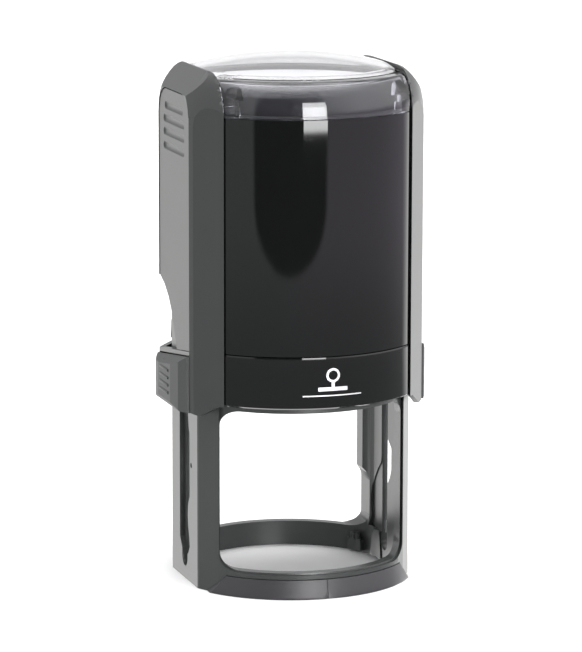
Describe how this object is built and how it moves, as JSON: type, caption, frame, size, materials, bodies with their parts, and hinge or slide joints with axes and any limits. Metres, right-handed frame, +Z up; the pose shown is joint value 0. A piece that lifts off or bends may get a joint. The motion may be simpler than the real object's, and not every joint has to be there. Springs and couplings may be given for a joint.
{
  "type": "self-inking stamp",
  "caption": "Round self-inking hand stamp: a cap slides down over a legged base and flips a rubber die from the ink pad to the paper.",
  "frame": {"origin": "centre of the round foot ring, on the surface the stamp stands on", "axes": "+Z up through the cap, X along the die's axle, -Y is the front and +Y the rear with the cartridge opening"},
  "size_m": [0.0566, 0.0556, 0.1127],
  "materials": {
    "base_plastic": "satin moulded",
    "foot_strip": "fine matte",
    "cartridge_plastic": "satin moulded",
    "ink_foam": "open foam soaked with ink",
    "spring_steel": "drawn wire",
    "inner_plastic": "matte moulded",
    "gloss_black": "high gloss",
    "wing_matte": "fine spark-eroded matte",
    "side_matte": "fine matte",
    "button_matte": "fine matte",
    "card_paper": "smooth coated card",
    "smoke_clear": "polished clear smoke",
    "carrier_plastic": "satin moulded",
    "axle_steel": "ground rod",
    "backing_foam": "closed foam",
    "die_rubber": "moulded rubber",
    "follower_plastic": "acetal"
  },
  "bodies": {
    "base": {"base_frame": "base_plastic", "front_foot_strip": "foot_strip", "rear_foot_strip": "foot_strip", "pad_bridge": "base_plastic", "cartridge_tray": "cartridge_plastic", "ink_pad": "ink_foam", "return_spring": "spring_steel"},
    "cap": {"spring_cup": "base_plastic", "top_deck": "inner_plastic", "front_panel": "gloss_black", "rear_panel": "gloss_black", "front_band": "gloss_black", "rear_band": "gloss_black", "left_wing": "wing_matte", "right_wing": "wing_matte", "left_side_panel": "side_matte", "right_side_panel": "side_matte", "left_button_spring": "spring_steel", "right_button_spring": "spring_steel", "index_card": "card_paper"},
    "window": {"window_cover": "smoke_clear"},
    "left_button": {"left_lock_button": "button_matte"},
    "right_button": {"right_lock_button": "button_matte"},
    "die": {"die_carrier": "carrier_plastic", "axle": "axle_steel", "die_backing": "backing_foam", "rubber_die": "die_rubber", "left_cam_follower": "follower_plastic", "right_cam_follower": "follower_plastic"}
  },
  "joints": [
    {"name": "press", "type": "slide", "parent": "base", "child": "cap", "axis": [0, 0, -1], "range_m": [0, 0.036], "stiffness_N_per_m": 250, "springref_m": -0.02, "deforming": ["return_spring", "ink_pad"]},
    {"name": "die_flip", "type": "hinge", "parent": "cap", "child": "die", "pos_m": [0, 0, 0.044], "axis": [1, 0, 0], "range_deg": [0, 180]},
    {"name": "left_lock", "type": "slide", "parent": "cap", "child": "left_button", "axis": [1, 0, 0], "range_m": [0, 0.0012], "stiffness_N_per_m": 600, "springref_m": -0.0008, "deforming": ["left_button_spring"]},
    {"name": "right_lock", "type": "slide", "parent": "cap", "child": "right_button", "axis": [-1, 0, 0], "range_m": [0, 0.0012], "stiffness_N_per_m": 600, "springref_m": -0.0008, "deforming": ["right_button_spring"]},
    {"name": "window_lift", "type": "slide", "parent": "cap", "child": "window", "axis": [0, 0, 1], "range_m": [0, 0.015]}
  ],
  "couplings": [
    {"joint": "die_flip", "follows": "press", "rad_per_m": 87.266}
  ]
}
